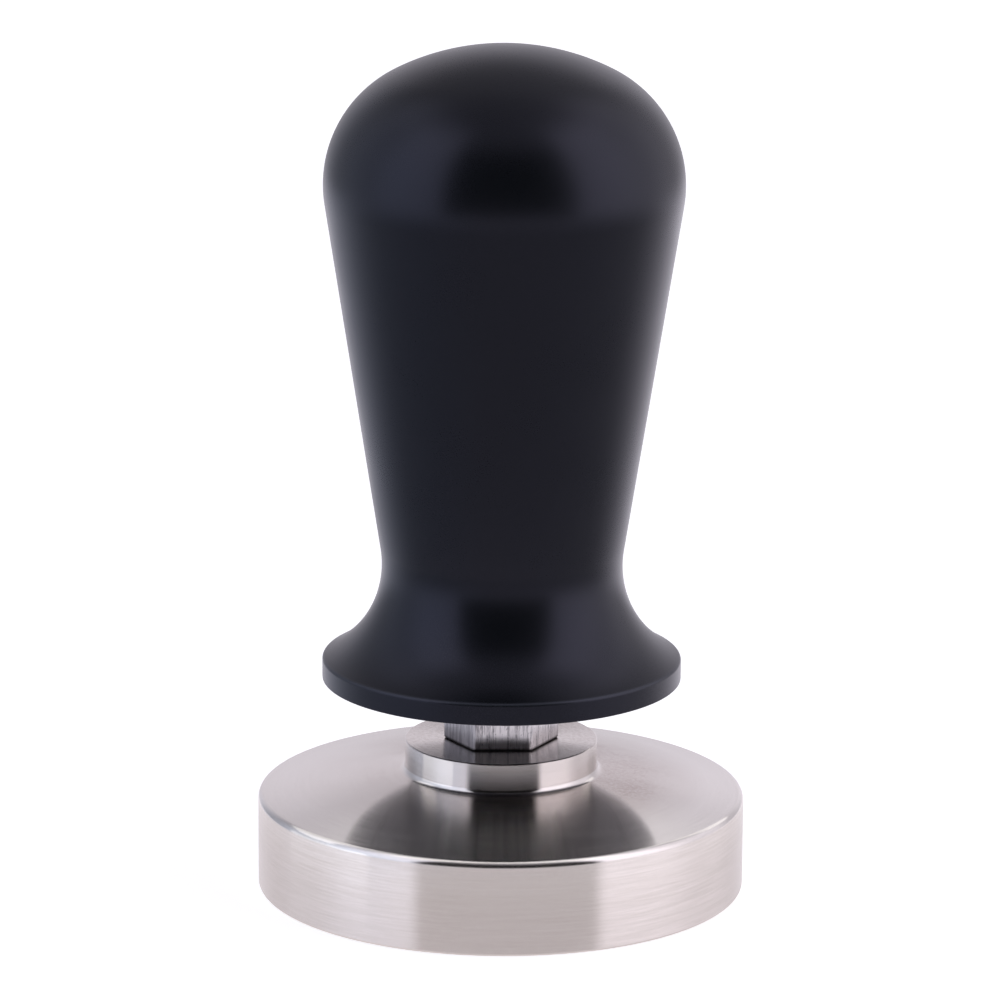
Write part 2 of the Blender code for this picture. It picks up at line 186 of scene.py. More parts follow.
# Studio: the dark gap at the front (azimuths in degrees away from -Y), the floor and the stand
GAP_HALF_ANGLE = 43.5
GAP_CENTRE = 3.5
FLOOR_RADIUS = 3000.0
STAND_RADIUS = 67.5
GLOW_FROM = 42.0


# ---------------------------------------------------------------- outlines and meshes

def arc(centre, radius, start, end, count):
    """Points (radius, height) along an arc, from one angle in degrees to another."""
    points = []
    for step in range(count + 1):
        angle = math.radians(start + (end - start) * step / count)
        points.append((centre[0] + radius * math.cos(angle), centre[1] + radius * math.sin(angle)))
    return points


def softened(corners, closed=False):
    """An outline from (radius, height, rounding) corners, each rounded off by an arc."""
    points = []
    count = len(corners)
    for index, (x, y, rounding) in enumerate(corners):
        at_end = not closed and index in (0, count - 1)
        if at_end or rounding <= 0:
            points.append((x, y))
            continue
        here = Vector((x, y))
        before = (Vector(corners[index - 1][:2]) - here).normalized()
        after = (Vector(corners[(index + 1) % count][:2]) - here).normalized()
        half = before.angle(after) / 2
        centre = here + (before + after).normalized() * (rounding / math.sin(half))
        start = here + before * (rounding / math.tan(half)) - centre
        sweep = start.angle_signed(here + after * (rounding / math.tan(half)) - centre)
        pieces = max(2, math.ceil(abs(math.degrees(sweep)) / ROUNDING_STEP))
        for step in range(pieces + 1):
            angle = -sweep * step / pieces
            across = start.x * math.cos(angle) - start.y * math.sin(angle)
            along = start.x * math.sin(angle) + start.y * math.cos(angle)
            points.append((centre.x + across, centre.y + along))
    return points


def new_object(name, vertices, faces):
    mesh = bpy.data.meshes.new(name)
    mesh.from_pydata([(x * MM, y * MM, z * MM) for x, y, z in vertices], [], faces)
    mesh.validate()
    mesh.update()
    obj = bpy.data.objects.new(name, mesh)
    bpy.context.scene.collection.objects.link(obj)
    return obj


def loft(name, rings, closed=False):
    """Skins a list of rings of equal length; a ring of one point closes an end."""
    vertices = []
    starts = []
    for ring in rings:
        starts.append(len(vertices))
        vertices.extend(ring)
    faces = []
    count = max(len(ring) for ring in rings)
    for low in range(len(rings) if closed else len(rings) - 1):
        high = (low + 1) % len(rings)
        for step in range(count):
            following = (step + 1) % count
            a, b = starts[low] + step, starts[low] + following
            c, d = starts[high] + following, starts[high] + step
            if len(rings[low]) == 1:
                faces.append((starts[low], c, d))
            elif len(rings[high]) == 1:
                faces.append((a, b, starts[high]))
            else:
                faces.append((a, b, c, d))
    obj = new_object(name, vertices, faces)
    recalculate(obj)
    return obj


def capped(rings):
    """The rings of an open tube, with a point at the middle of each end to close it."""
    ends = []
    for ring in (rings[0], rings[-1]):
        ends.append([tuple(sum((Vector(point) for point in ring), Vector()) / len(ring))])
    return [ends[0]] + rings + [ends[1]]


def recalculate(obj):
    """Makes the faces of a closed mesh point outwards."""
    work = bmesh.new()
    work.from_mesh(obj.data)
    bmesh.ops.recalc_face_normals(work, faces=work.faces)
    if work.calc_volume(signed=True) < 0:
        bmesh.ops.reverse_faces(work, faces=work.faces)
    work.to_mesh(obj.data)
    work.free()


def hexagon_radius(flats, angle, turn=STEM_TURN):
    """Distance from the axis to a hexagon's side whose flats face -Y and +Y, then turned."""
    sector = math.pi / 3
    away = (angle - math.radians(90.0 + turn) + sector / 2) % sector - sector / 2
    return flats / 2 / math.cos(away)


def ring_of(radius_at, height, steps):
    """A ring of points whose distance from the axis is a function of the angle and the height."""
    ring = []
    for step in range(steps):
        angle = 2 * math.pi * step / steps
        radius = radius_at(angle, height)
        ring.append((radius * math.cos(angle), radius * math.sin(angle), height))
    return ring


def round_ring(radius, height, steps, ridges=0, depth=0.0):
    """A circle, or a straight-knurled circle with this many ridges."""
    return ring_of(lambda angle, _: radius - depth * abs(math.sin(ridges * angle / 2)), height, steps)


def hexagon_ring(flats, height, steps, turn=0.0):
    return ring_of(lambda angle, _: hexagon_radius(flats, angle, turn), height, steps)


def circles(outline, steps):
    """One circle for each (radius, height) point."""
    return [round_ring(radius, height, steps) for radius, height in outline]


def hexagons(outline, steps):
    """One hexagon, turned like the stem, for each (flats, height) point."""
    return [hexagon_ring(flats, height, steps, STEM_TURN) for flats, height in outline]


def turned(name, outline, steps, closed=False):
    """A turned piece from an outline of (radius, height) points."""
    rings = []
    for radius, height in outline:
        if radius < 1e-6:
            rings.append([(0.0, 0.0, height)])
        else:
            rings.append(round_ring(radius, height, steps))
    return loft(name, rings, closed)


def drilled(name, radius, tip, floor, mouth, steps):
    """A cutter for a drilled hole: the tip of its cone, its floor and its open mouth."""
    return turned(name, [(0, tip), (radius, floor), (radius, mouth), (0, mouth)], steps)


def combine(obj, cutter):
    """Cuts one object with another, which is then removed."""
    modifier = obj.modifiers.new("combine", "BOOLEAN")
    modifier.operation = "DIFFERENCE"
    modifier.solver = "EXACT"
    modifier.object = cutter
    bpy.context.view_layer.update()
    graph = bpy.context.evaluated_depsgraph_get()
    mesh = bpy.data.meshes.new_from_object(obj.evaluated_get(graph))
    obj.modifiers.clear()
    obj.data = mesh
    bpy.data.objects.remove(cutter)
    work = bmesh.new()
    work.from_mesh(mesh)
    bmesh.ops.dissolve_degenerate(work, dist=1e-7, edges=work.edges)
    work.to_mesh(mesh)
    work.free()


def moved(obj, x, y):
    for vertex in obj.data.vertices:
        vertex.co += Vector((x, y, 0.0)) * MM
    return obj


def shade(obj, degrees=32.0):
    """Smooth shading that keeps flats flat beside their rounded edges."""
    obj.data.shade_smooth()
    obj.data.set_sharp_from_angle(angle=math.radians(degrees))
    weighted = obj.modifiers.new("weighted", "WEIGHTED_NORMAL")
    weighted.keep_sharp = True
    weighted.weight = 90
    return obj


def place(obj, node, body, material):
    """Puts a finished piece on its body, in place of its CAD node."""
    obj.data.materials.clear()
    obj.data.materials.append(material)
    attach(obj, body)
    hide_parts(node)
    return obj


# ---------------------------------------------------------------- node helpers

class Nodes:
    """Short-hand for building one material's node tree."""

    def __init__(self, name):
        self.material = bpy.data.materials.new(name)
        self.material.use_nodes = True
        self.tree = self.material.node_tree
        self.shader = self.tree.nodes["Principled BSDF"]

    def add(self, kind, **values):
        node = self.tree.nodes.new(kind)
        for key, value in values.items():
            setattr(node, key, value)
        return node

    def link(self, source, target):
        self.tree.links.new(source, target)

    def feed(self, socket, value):
        """Links an output socket, or sets a plain value."""
        if isinstance(value, bpy.types.NodeSocket):
            self.link(value, socket)
        else:
            socket.default_value = value

    def maths(self, operation, first, second=0.0):
        node = self.add("ShaderNodeMath", operation=operation)
        self.feed(node.inputs[0], first)
        self.feed(node.inputs[1], second)
        return node.outputs[0]

    def product(self, first, *others):
        for value in others:
            first = self.maths("MULTIPLY", first, value)
        return first

    def total(self, first, *others):
        for value in others:
            first = self.maths("ADD", first, value)
        return first

    def position(self):
        """Object coordinates in millimetres, and their X, Y, Z and distance from the axis."""
        coordinates = self.add("ShaderNodeTexCoord").outputs["Object"]
        scaled = self.add("ShaderNodeVectorMath", operation="SCALE")
        self.link(coordinates, scaled.inputs[0])
        scaled.inputs["Scale"].default_value = 1 / MM
        parts = self.add("ShaderNodeSeparateXYZ")
        self.link(scaled.outputs[0], parts.inputs[0])
        x, y, z = parts.outputs
        radius = self.maths("SQRT", self.total(self.product(x, x), self.product(y, y)))
        return scaled.outputs[0], x, y, z, radius

    def vector(self, x, y, z):
        node = self.add("ShaderNodeCombineXYZ")
        for socket, value in zip(node.inputs, (x, y, z)):
            self.feed(socket, value)
        return node.outputs[0]

    def noise(self, vector, scale, detail, roughness):
        node = self.add("ShaderNodeTexNoise")
        self.link(vector, node.inputs["Vector"])
        node.inputs["Scale"].default_value = scale
        node.inputs["Detail"].default_value = detail
        node.inputs["Roughness"].default_value = roughness
        return node.outputs["Fac"]

    def span(self, value, low, high, to_low=0.0, to_high=1.0):
        """Maps a value from one span to another, held within it."""
        node = self.add("ShaderNodeMapRange")
        self.feed(node.inputs["Value"], value)
        node.inputs["From Min"].default_value = low
        node.inputs["From Max"].default_value = high
        node.inputs["To Min"].default_value = to_low
        node.inputs["To Max"].default_value = to_high
        return node.outputs["Result"]

    def colours(self, factor, first, second):
        """Goes from one colour to another with a factor."""
        node = self.add("ShaderNodeMix", data_type="RGBA")
        self.feed(node.inputs["Factor"], factor)
        node.inputs["A"].default_value = (*first, 1.0)
        node.inputs["B"].default_value = (*second, 1.0)
        return node.outputs["Result"]

    def times(self, first, second):
        """Multiplies two colours."""
        node = self.add("ShaderNodeMix", data_type="RGBA", blend_type="MULTIPLY")
        node.inputs["Factor"].default_value = 1.0
        self.link(first, node.inputs["A"])
        self.link(second, node.inputs["B"])
        return node.outputs["Result"]

    def bump(self, height, strength, distance_mm):
        node = self.add("ShaderNodeBump")
        node.inputs["Strength"].default_value = strength
        node.inputs["Distance"].default_value = distance_mm * MM
        self.link(height, node.inputs["Height"])
        return node.outputs["Normal"]

    def circular_grain(self, across):
        """Turns the blur of an anisotropic shader across circular lines, or round the axis."""
        tangent = self.add("ShaderNodeTangent", direction_type="RADIAL", axis="Z")
        self.link(tangent.outputs[0], self.shader.inputs["Tangent"])
        self.shader.inputs["Anisotropic Rotation"].default_value = 0.25 if across else 0.0

    def finish(self, colour, roughness, normal=None, **constants):
        """Connects the shader and sets its constant sockets."""
        self.feed(self.shader.inputs["Base Color"], colour)
        self.feed(self.shader.inputs["Roughness"], roughness)
        if normal is not None:
            self.link(normal, self.shader.inputs["Normal"])
        for name, value in constants.items():
            self.shader.inputs[name.replace("_", " ")].default_value = value
        return self.material


# ---------------------------------------------------------------- finishes

def black_anodised():
    """Satin black anodised aluminium, finely turned, paler along the flange's upper edge: rubbed and
    worn there, and a painted highlight line.
    """
    nodes = Nodes("black_anodised_satin")
    place_mm, _, _, z, radius = nodes.position()
    grain = nodes.noise(place_mm, 9.0, 3.0, 0.6)
    cloud = nodes.noise(place_mm, 0.09, 3.0, 0.5)
    rings = nodes.noise(nodes.vector(radius, 0.0, z), 5.0, 2.0, 0.6)
    # Paler band along the flange's upper edge: partly rubbed and worn, partly a painted highlight line.
    from_edge = nodes.maths("ABSOLUTE", nodes.maths("SUBTRACT", z, UNDERSIDE + FLANGE_BAND))
    on_rim = nodes.span(radius, FLANGE_RADIUS - 0.7, FLANGE_RADIUS - 0.4)
    rubbed = nodes.product(nodes.span(from_edge, 0.2, 0.05), on_rim)
    coat = nodes.colours(cloud, (0.0036, 0.0044, 0.0056), (0.0046, 0.0054, 0.0068))
    wear_and_highlight = nodes.colours(rubbed, WHITE, (6.0, 5.6, 5.4))
    fine_rough = nodes.span(grain, 0.3, 0.7, 0.27, 0.33)
    rough = nodes.total(fine_rough, nodes.span(cloud, 0.3, 0.7, -0.02, 0.02))
    height = nodes.total(nodes.product(grain, 0.7), nodes.product(rings, 0.3))
    nodes.shader.inputs["Specular Tint"].default_value = (0.56, 0.565, 0.74, 1.0)
    return nodes.finish(nodes.times(coat, wear_and_highlight), rough, nodes.bump(height, 0.35, 0.004), IOR=1.55)


def steel_dirt_and_shade(nodes, on_top, on_collar, speck):
    """How much turned steel is darkened: stained patches with painted shade on the cone near the collar,
    most on the right, and grime on the collar's top.
    """
    place_mm, x, y, _, radius = nodes.position()
    # Stained patches and painted shade: the cone darkens near the collar, more towards the right.
    blotch_noise = nodes.noise(place_mm, 0.11, 3.0, 0.5)
    near = nodes.product(nodes.span(radius, BASE_RADIUS - 4.0, COLLAR_RADIUS + 3.0), on_top)
    off_collar = nodes.span(radius, COLLAR_RADIUS + 0.2, COLLAR_RADIUS + 0.8, 0.15, 1.0)
    to_right = nodes.span(nodes.total(x, y), -8.0, 14.0, 0.7, 2.2)
    patches = nodes.span(blotch_noise, 0.36, 0.62, 0.6, 1.0)
    specks = nodes.span(speck, 0.3, 0.7, 0.4, 0.8)
    stain_and_shade = nodes.product(near, patches, specks, to_right, off_collar)
    grime = nodes.product(on_collar, nodes.span(speck, 0.42, 0.60, 0.18, 0.55))
    return nodes.maths("MAXIMUM", stain_and_shade, grime)


def turned_steel():
    """Bright stainless steel, blurred across the fine circular lines of the lathe tool."""
    nodes = Nodes("turned_stainless")
    place_mm, x, y, z, radius = nodes.position()
    on_top = nodes.span(z, RIM_HEIGHT - 0.6, RIM_HEIGHT + 0.2)
    on_collar = nodes.span(z, COLLAR_TOP - 0.3, COLLAR_TOP - 0.05)
    waver = nodes.noise(place_mm, 0.06, 2.0, 0.5)
    rings = nodes.noise(nodes.vector(radius, waver, z), 4.5, 3.0, 0.7)
    along = nodes.vector(nodes.product(x, 0.03), nodes.product(y, 0.03), nodes.total(z, radius))
    scratch = nodes.noise(along, 3.8, 3.0, 0.7)
    speck = nodes.noise(place_mm, 2.6, 3.0, 0.7)
    dirt_and_shade = steel_dirt_and_shade(nodes, on_top, on_collar, speck)
    shown = nodes.span(on_top, 0.0, 1.0, 1.0, 0.25)
    line = nodes.product(nodes.span(scratch, 0.3, 0.7, -0.5, 0.5), shown)
    metal = nodes.colours(nodes.total(line, 0.5), (0.75, 0.71, 0.67), (0.86, 0.82, 0.785))
    grain = nodes.colours(nodes.span(speck, 0.3, 0.7), (0.96, 0.955, 0.955), WHITE)
    # Darker where the cone is stained and painted with shade, and where the collar's top has grime.
    stained_and_shaded_tint = nodes.colours(dirt_and_shade, WHITE, (0.66, 0.60, 0.58))
    colour = nodes.times(nodes.times(metal, grain), stained_and_shaded_tint)
    rough = nodes.span(scratch, 0.3, 0.7, 0.165, 0.205)
    rough = nodes.total(rough, nodes.product(dirt_and_shade, 0.02), nodes.product(on_collar, 0.02))
    lines = nodes.total(nodes.product(rings, 0.5), nodes.product(scratch, 0.15))
    normal = nodes.bump(nodes.product(lines, shown), 0.6, 0.003)
    nodes.circular_grain(across=True)
    return nodes.finish(colour, rough, normal, Metallic=1.0, Anisotropic=0.97)


def drawn_steel():
    """Drawn stainless bar: scratches along it, pits, a left side painted darker as shade and made a
    little rougher, and painted shade at its foot.
    """
    nodes = Nodes("drawn_stainless")
    place_mm, x, y, z, _ = nodes.position()
    along = nodes.vector(x, y, nodes.product(z, 0.08))
    streak = nodes.noise(along, 2.4, 3.0, 0.65)
    hair = nodes.noise(along, 7.0, 2.0, 0.6)
    pits = nodes.noise(place_mm, 4.0, 3.0, 0.65)
    lines = nodes.total(streak, nodes.product(hair, 0.5))
    scored = nodes.product(nodes.span(lines, 0.72, 0.92), nodes.span(pits, 0.3, 0.55, 0.5, 1.0))
    # Scored lines, plus painted shade on the bar's left side (x below -2.6 mm).
    dark = nodes.total(scored, nodes.span(x, -2.6, -3.2, 0.0, 0.75))
    speck = nodes.span(pits, 0.62, 0.70)
    bar = nodes.colours(nodes.maths("MAXIMUM", dark, speck), (0.95, 0.92, 0.93), (0.36, 0.34, 0.36))
    # Painted shade: the bar darkens over its lowest 0.4 mm, where it meets the collar.
    foot_shade = nodes.span(z, STEM_FOOT + 0.4, STEM_FOOT + 0.1)
    colour = nodes.times(bar, nodes.colours(foot_shade, WHITE, (0.12, 0.11, 0.11)))
    rough = nodes.total(nodes.span(hair, 0.3, 0.7, 0.28, 0.36), nodes.product(dark, 0.06))
    height = nodes.total(lines, nodes.product(pits, 0.35))
    nodes.circular_grain(across=False)
    return nodes.finish(colour, rough, nodes.bump(height, 0.6, 0.010), Metallic=1.0, Anisotropic=0.9)


def plated_steel():
    """Pale zinc plating with a faint cloudy tint and fine circular lines."""
    nodes = Nodes("zinc_plated_steel")
    place_mm, _, _, z, radius = nodes.position()
    cloud = nodes.noise(place_mm, 0.35, 4.0, 0.6)
    fine = nodes.noise(nodes.vector(radius, 0.0, z), 6.0, 2.0, 0.6)
    colour = nodes.colours(nodes.span(cloud, 0.3, 0.7), (0.62, 0.63, 0.66), (0.48, 0.49, 0.53))
    rough = nodes.span(fine, 0.3, 0.7, 0.22, 0.36)
    return nodes.finish(colour, rough, nodes.bump(fine, 0.4, 0.004), Metallic=1.0)


def spring_steel():
    """Drawn spring wire: dark steel with drawing lines and a thin oily sheen."""
    nodes = Nodes("spring_steel")
    place_mm, _, _, _, _ = nodes.position()
    mottle = nodes.noise(place_mm, 1.6, 4.0, 0.6)
    fine = nodes.noise(place_mm, 12.0, 2.0, 0.6)
    colour = nodes.colours(nodes.span(mottle, 0.35, 0.65), (0.42, 0.40, 0.38), (0.22, 0.21, 0.21))
    rough = nodes.span(fine, 0.3, 0.7, 0.24, 0.42)
    return nodes.finish(colour, rough, nodes.bump(fine, 0.4, 0.006), Metallic=1.0)


def black_oxide():
    """Black oxide on steel fasteners, rubbed to bare metal in places."""
    nodes = Nodes("black_oxide_steel")
    place_mm, _, _, _, _ = nodes.position()
    rub = nodes.noise(place_mm, 1.1, 5.0, 0.65)
    fine = nodes.noise(place_mm, 14.0, 2.0, 0.5)
    colour = nodes.colours(nodes.span(rub, 0.6, 0.72), (0.022, 0.022, 0.025), (0.16, 0.15, 0.15))
    rough = nodes.span(fine, 0.3, 0.7, 0.34, 0.48)
    return nodes.finish(colour, rough, nodes.bump(fine, 0.35, 0.004), Metallic=0.85)


def acetal():
    """Natural acetal: milky, slightly waxy plastic."""
    nodes = Nodes("natural_acetal")
    place_mm, _, _, z, radius = nodes.position()
    cloud = nodes.noise(place_mm, 0.4, 3.0, 0.5)
    fine = nodes.noise(nodes.vector(radius, 0.0, z), 5.0, 2.0, 0.5)
    colour = nodes.colours(cloud, (0.74, 0.73, 0.68), (0.82, 0.81, 0.77))
    rough = nodes.span(fine, 0.3, 0.7, 0.36, 0.5)
    return nodes.finish(colour, rough, nodes.bump(fine, 0.3, 0.005), Subsurface_Weight=0.15)


def rubber():
    """Matt black rubber with a faint bloom."""
    nodes = Nodes("matt_rubber")
    place_mm, _, _, _, _ = nodes.position()
    bloom = nodes.noise(place_mm, 0.8, 4.0, 0.6)
    fine = nodes.noise(place_mm, 9.0, 2.0, 0.6)
    colour = nodes.colours(nodes.span(bloom, 0.4, 0.75), (0.014, 0.014, 0.014), (0.035, 0.034, 0.033))
    rough = nodes.span(fine, 0.3, 0.7, 0.62, 0.8)
    return nodes.finish(colour, rough, nodes.bump(fine, 0.5, 0.01))


# ---------------------------------------------------------------- pieces

def make_base_plate():
    slope = (CONE_TOP_HEIGHT - RIM_HEIGHT) / (BASE_RADIUS - RIM_ROUND - CONE_TOP_RADIUS)
    at_collar = CONE_TOP_HEIGHT + slope * (CONE_TOP_RADIUS - COLLAR_RADIUS)
    at_rim = CONE_TOP_HEIGHT - slope * (BASE_RADIUS - CONE_TOP_RADIUS)
    corners = [
        (0.0, STUD_HOLE_FLOOR - BASE_HOLE_TIP, 0),
        (STUD_HOLE_RADIUS, STUD_HOLE_FLOOR, 0),
        (STUD_HOLE_RADIUS, COLLAR_TOP - STUD_HOLE_CHAMFER, EDGE_BREAK),
        (STUD_HOLE_RADIUS + STUD_HOLE_CHAMFER, COLLAR_TOP, EDGE_BREAK),
        (COLLAR_RADIUS - COLLAR_CHAMFER, COLLAR_TOP, EDGE_BREAK),
        (COLLAR_RADIUS, COLLAR_TOP - COLLAR_CHAMFER, EDGE_BREAK),
        (COLLAR_RADIUS, at_collar, COLLAR_FILLET),
        (BASE_RADIUS, at_rim, RIM_ROUND),
        (BASE_RADIUS, 0.0, FOOT_ROUND),
        (0.0, 0.0, 0),
    ]
    return shade(turned("base_plate_turned", softened(corners), FINE_STEPS))


def stem_radius(angle, height):
    """Radius of the stem: flats, turned-down corners and a chamfer at each end."""
    to_end = min(height - STEM_FOOT, STEM_TOP - height)
    corner = min(STEM_CORNER_RADIUS, STEM_CORNER_RADIUS - STEM_CHAMFER + to_end)
    relief = max(0.0, STEM_RELIEF - to_end)
    return min(hexagon_radius(STEM_FLATS - 2 * relief, angle), corner)


def make_hex_stem():
    rise = [STEM_CHAMFER * step / 4 for step in range(5)]
    heights = [STEM_FOOT + part for part in rise]
    heights += [(STEM_FOOT + STEM_TOP) / 2]
    heights += [STEM_TOP - part for part in reversed(rise)]
    rings = [[(0.0, 0.0, heights[0])]]
    rings += [ring_of(stem_radius, height, STEM_STEPS) for height in heights]
    rings += [[(0.0, 0.0, heights[-1])]]
    stem = loft("hex_stem_bar", rings)
    tip = STUD_HOLE_TOP + STUD_HOLE_TIP
    combine(stem, drilled("stud_hole", STUD_HOLE_RADIUS, tip, STUD_HOLE_TOP, UNDER_STEM, 64))
    floor = SCREW_TIP - SCREW_HOLE_SPARE
    radius = SCREW_RADIUS + CLEARANCE
    combine(stem, drilled("screw_hole", radius, floor - SCREW_HOLE_TIP, floor, OVER_STEM, 64))
    return shade(stem, 20.0)


def handle_outside():
    """The handle's outer outline, from the middle of its dome down to its flange."""
    slope = math.radians(TAPER)
    rise = math.sqrt((DOME_RADIUS - SHOULDER_RADIUS) ** 2 - SHOULDER_OFFSET**2)
    dome = Vector((0.0, HANDLE_TOP - DOME_RADIUS))
    shoulder = Vector((SHOULDER_OFFSET, dome.y + rise))
    outward = Vector((math.cos(slope), -math.sin(slope)))
    down = Vector((-math.sin(slope), -math.cos(slope)))
    band_top = Vector((FLANGE_RADIUS, UNDERSIDE + FLANGE_BAND))
    start = shoulder + outward * (SHOULDER_RADIUS + FLARE_RADIUS)
    away = start - band_top
    travel = -away.dot(down) - math.sqrt(away.dot(down) ** 2 - away.length_squared + FLARE_RADIUS**2)
    flare = start + down * travel
    meet = math.degrees(math.atan2(rise, SHOULDER_OFFSET))
    edge = 180.0 + math.degrees(math.atan2(flare.y - band_top.y, flare.x - band_top.x))
    points = arc(dome, DOME_RADIUS, 90.0, meet, 18)
    points += arc(shoulder, SHOULDER_RADIUS, meet, -TAPER, 30)[1:]
    points += arc(flare, FLARE_RADIUS, 180.0 - TAPER, edge - 1.3, 30)
    return points


def make_handle_shell():
    counterbore = PLUG_RADIUS + CLEARANCE
    ledge = UNDERSIDE + PLUG_FLANGE + CLEARANCE
    outside = handle_outside()
    corners = [
        (*outside[-1], 0),
        (FLANGE_RADIUS, UNDERSIDE + FLANGE_BAND, FLANGE_ROUND),
        (FLANGE_RADIUS, UNDERSIDE, FLANGE_LOWER_ROUND),
        (counterbore, UNDERSIDE, 0.12),
        (counterbore, ledge, 0),
        (CHAMBER_RADIUS, ledge, 0.1),
        (CHAMBER_RADIUS, CHAMBER_TOP, 0.3),
        (0.0, CHAMBER_TOP, 0),
    ]
    shell = turned("handle_shell_turned", outside + softened(corners)[1:], FINE_STEPS)
    radius = PLUG_SCREW_RADIUS + CLEARANCE
    floor = UNDERSIDE + SHELL_HOLE_DEPTH
    for number, (x, y) in enumerate(screw_places(), 1):
        hole = drilled(f"hole_{number}", radius, floor + SHELL_HOLE_TIP, floor, UNDERSIDE, 48)
        combine(shell, moved(hole, x, y))
    return shade(shell)


def thread_radius(angle, height, radius, pitch):
    """Radius of a rounded 60 degree thread whose crest climbs one pitch a turn."""
    phase = (height / pitch - angle / (2 * math.pi)) % 1.0
    return radius - THREAD_DEPTH * pitch * (0.5 - 0.5 * math.cos(2 * math.pi * phase)) ** 0.8


def thread_rings(radius, pitch, bottom, top, steps, chamfers=(1.0, 1.0)):
    """Rings of a threaded shank, its ends turned down by the chamfers (in pitches)."""
    def reach(angle, height):
        crest = thread_radius(angle, height, radius, pitch)
        for end, chamfer in ((height - bottom, chamfers[0]), (top - height, chamfers[1])):
            if chamfer > 0:
                crest = min(crest, radius - chamfer * pitch * 0.75 + end)
        return crest

    count = math.ceil((top - bottom) / pitch * 8)
    heights = [bottom + (top - bottom) * index / count for index in range(count + 1)]
    return [ring_of(reach, height, steps) for height in heights]


def socket_rings(flats, mouth, floor, steps):
    """Rings down into a hexagon socket with a chamfered mouth, to its drilled floor."""
    inwards = 1.0 if floor > mouth else -1.0
    chamfer = flats * 0.06
    middle = (0.0, 0.0, floor + inwards * flats * 0.18)
    return [
        round_ring(flats / math.sqrt(3) + chamfer / 2, mouth, steps),
        hexagon_ring(flats, mouth + inwards * chamfer, steps),
        hexagon_ring(flats, floor, steps),
        [middle],
    ]


def make_base_stud():
    steps = 72
    rings = [[(0.0, 0.0, STUD_BOTTOM)]]
    rings += thread_rings(STUD_RADIUS, STUD_PITCH, STUD_BOTTOM, STUD_TOP, steps)
    rings += socket_rings(STUD_SOCKET_FLATS, STUD_TOP, STUD_TOP - STUD_SOCKET_DEPTH, steps)
    return shade(loft("base_stud_threaded", rings), 40.0)


def make_stop_screw():
    """A socket cap screw with a knurled head."""
    steps = TURN_STEPS
    seat = SCREW_TOP - SCREW_HEAD_HEIGHT
    head = SCREW_HEAD_RADIUS
    crown = head - 0.05
    underside = [
        (SCREW_RADIUS, seat - 0.4),
        (SCREW_RADIUS, seat - 0.15),
        (SCREW_RADIUS + 0.15, seat),
        (head - 0.25, seat),
        (head - 0.02, seat + 0.25),
        (head, seat + 0.8),
    ]
    rings = [[(0.0, 0.0, SCREW_TIP)]]
    rings += thread_rings(SCREW_RADIUS, SCREW_PITCH, SCREW_TIP, seat - 0.5, steps, (1.0, 0.0))
    rings += circles(underside, steps)
    rings += [round_ring(head, seat + 1.0, steps, KNURLS, KNURL_DEPTH)]
    rings += [round_ring(head, SCREW_TOP - 0.9, steps, KNURLS, KNURL_DEPTH)]
    rings += circles([(crown, SCREW_TOP - 0.55)], steps)
    rings += circles(arc((crown - CROWN_ROUND, SCREW_TOP - CROWN_ROUND), CROWN_ROUND, 30, 90, 2), steps)
    rings += socket_rings(SCREW_SOCKET_FLATS, SCREW_TOP, SCREW_TOP - SCREW_SOCKET_DEPTH, steps)
    return shade(loft("stop_screw_socket_cap", rings), 38.0)


def make_plug_screw(node):
    """A countersunk socket screw whose head faces down."""
    low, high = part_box(node)
    middle = (low + high) / 2 / MM
    bottom, top, head = low.z / MM, high.z / MM, (high.x - low.x) / 2 / MM
    steps = 72
    neck = bottom + PLUG_SCREW_RIM + head - PLUG_SCREW_RADIUS
    outline = [
        (head - 0.12, bottom),
        (head - 0.03, bottom + 0.04),
        (head, bottom + 0.12),
        (head, bottom + PLUG_SCREW_RIM),
        (PLUG_SCREW_RADIUS + 0.1, neck - 0.1),
        (PLUG_SCREW_RADIUS, neck + 0.1),
    ]
    rings = socket_rings(PLUG_SOCKET_FLATS, bottom, bottom + PLUG_SOCKET_DEPTH, steps)[::-1]
    rings += circles(outline, steps)
    rings += thread_rings(PLUG_SCREW_RADIUS, PLUG_SCREW_PITCH, neck + 0.2, top, steps, (0.0, 1.0))
    rings += [[(0.0, 0.0, top)]]
    screw = loft(f"{node}_countersunk", rings)
    return shade(moved(screw, middle.x, middle.y), 38.0)


def ring_outline(inner, outer, bottom, top, rounding):
    corners = [
        (inner, top, rounding),
        (outer, top, rounding),
        (outer, bottom, rounding),
        (inner, bottom, rounding),
    ]
    return softened(corners, closed=True)


def make_ring(node, inner, rounding):
    outer, bottom, top = box_mm(node)
    outline = ring_outline(inner, outer, bottom, top, rounding)
    return shade(turned(f"{node}_ring", outline, RING_STEPS, closed=True))


def make_stop_washer():
    shoulder = STOP_TOP - STOP_BOSS
    corners = [
        (STOP_BORE, STOP_TOP, 0.2),
        (STOP_BOSS_RADIUS, STOP_TOP, 0.3),
        (STOP_BOSS_RADIUS, shoulder, 0.15),
        (STOP_RADIUS, shoulder, 0.35),
        (STOP_RADIUS, STOP_BOTTOM, 0.35),
        (STOP_BORE, STOP_BOTTOM, 0.2),
    ]
    return shade(turned("stop_washer_stepped", softened(corners, closed=True), RING_STEPS, closed=True))


